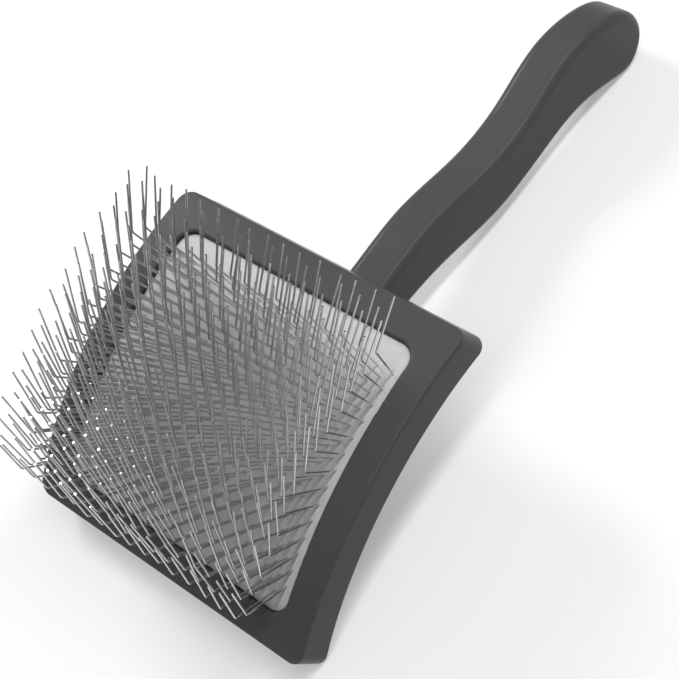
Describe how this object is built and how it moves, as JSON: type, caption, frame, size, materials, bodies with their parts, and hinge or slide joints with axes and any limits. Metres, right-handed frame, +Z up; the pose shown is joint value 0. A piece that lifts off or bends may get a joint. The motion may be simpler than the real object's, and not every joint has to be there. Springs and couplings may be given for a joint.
{
  "type": "slicker brush",
  "caption": "Bent-head slicker brush with long bent wire pins on a sprung pad and an S-shaped handle, for dematting pets.",
  "frame": {"origin": "bottom centre of the brush's box, as it lies on its back on a table", "axes": "+X across the head, +Y from the head to the handle's end, +Z up; the pins rise from the head's raised side"},
  "size_m": [0.1, 0.2326, 0.0849],
  "materials": {
    "coated_plastic": "dark grey soft-touch satin",
    "pad_rubber": "light grey matte rubber with a fine mottle",
    "cloth": "woven laminate",
    "foam": "open-cell foam",
    "pin_steel": "drawn stainless wire",
    "screw_steel": "zinc plated"
  },
  "bodies": {
    "body": {"head_frame": "coated_plastic", "back_cover": "coated_plastic", "cover_screws": "screw_steel", "handle": "coated_plastic", "handle_screws": "screw_steel", "cushion_foam": "foam"},
    "pad": {"pad_foundation": "cloth", "pad_face": "pad_rubber", "pin_row_01": "pin_steel", "pin_row_02": "pin_steel", "pin_row_03": "pin_steel", "pin_row_04": "pin_steel", "pin_row_05": "pin_steel", "pin_row_06": "pin_steel", "pin_row_07": "pin_steel", "pin_row_08": "pin_steel", "pin_row_09": "pin_steel", "pin_row_10": "pin_steel", "pin_row_11": "pin_steel", "pin_row_12": "pin_steel", "pin_row_13": "pin_steel", "pin_row_14": "pin_steel", "pin_row_15": "pin_steel", "pin_row_16": "pin_steel", "pin_row_17": "pin_steel", "pin_row_18": "pin_steel", "pin_row_19": "pin_steel", "pin_row_20": "pin_steel", "pin_row_21": "pin_steel", "pin_row_22": "pin_steel", "pin_row_23": "pin_steel", "pin_row_24": "pin_steel", "pin_row_25": "pin_steel", "pin_row_26": "pin_steel", "pin_row_27": "pin_steel", "pin_row_28": "pin_steel"}
  },
  "joints": [
    {"name": "pad_press", "type": "slide", "parent": "body", "child": "pad", "axis": [0, -0.441, 0.8975], "range_m": [-0.0015, 0], "stiffness_N_per_m": 9000, "deforming": ["cushion_foam"]}
  ]
}
